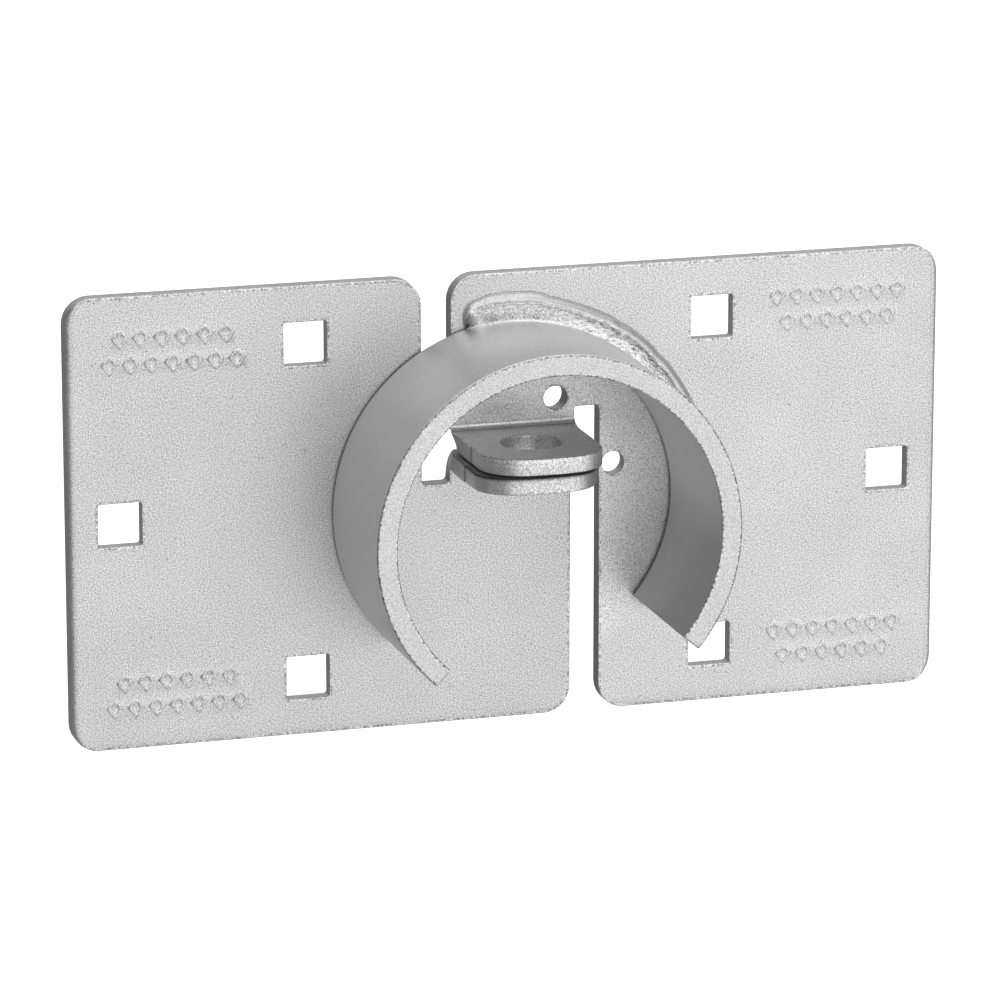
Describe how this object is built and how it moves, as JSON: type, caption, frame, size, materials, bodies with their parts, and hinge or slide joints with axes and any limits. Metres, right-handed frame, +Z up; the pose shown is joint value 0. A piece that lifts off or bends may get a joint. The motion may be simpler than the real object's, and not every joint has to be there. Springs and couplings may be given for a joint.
{
  "type": "double door hasp and staple",
  "caption": "Steel hasp for a pair of doors: two folded plates whose tabs overlap, with an open ring that shrouds a round hidden-shackle padlock.",
  "frame": {"origin": "centre point between the two plates' outer edges, on the back face of the left plate, where it lies on its door", "axes": "X across both doors, +X towards the right plate; +Y into the doors, so -Y points out towards the user; +Z up"},
  "size_m": [0.2154, 0.0436, 0.1092],
  "materials": {
    "left_plate": "zinc-plated steel sheet, satin with a fine grain",
    "right_plate": "zinc-plated steel sheet, satin with a fine grain",
    "shroud_ring": "zinc-plated steel ring, satin with a fine grain",
    "weld_bead": "zinc-plated fillet weld, rough and a little shinier than the sheet"
  },
  "bodies": {
    "left_half": {"left_plate": "left_plate"},
    "right_half": {"right_plate": "right_plate", "shroud_ring": "shroud_ring", "weld_bead": "weld_bead"}
  },
  "joints": [
    {"name": "doors_open", "type": "slide", "parent": "left_half", "child": "right_half", "axis": [0, -1, 0], "range_m": [0, 0.06]}
  ]
}
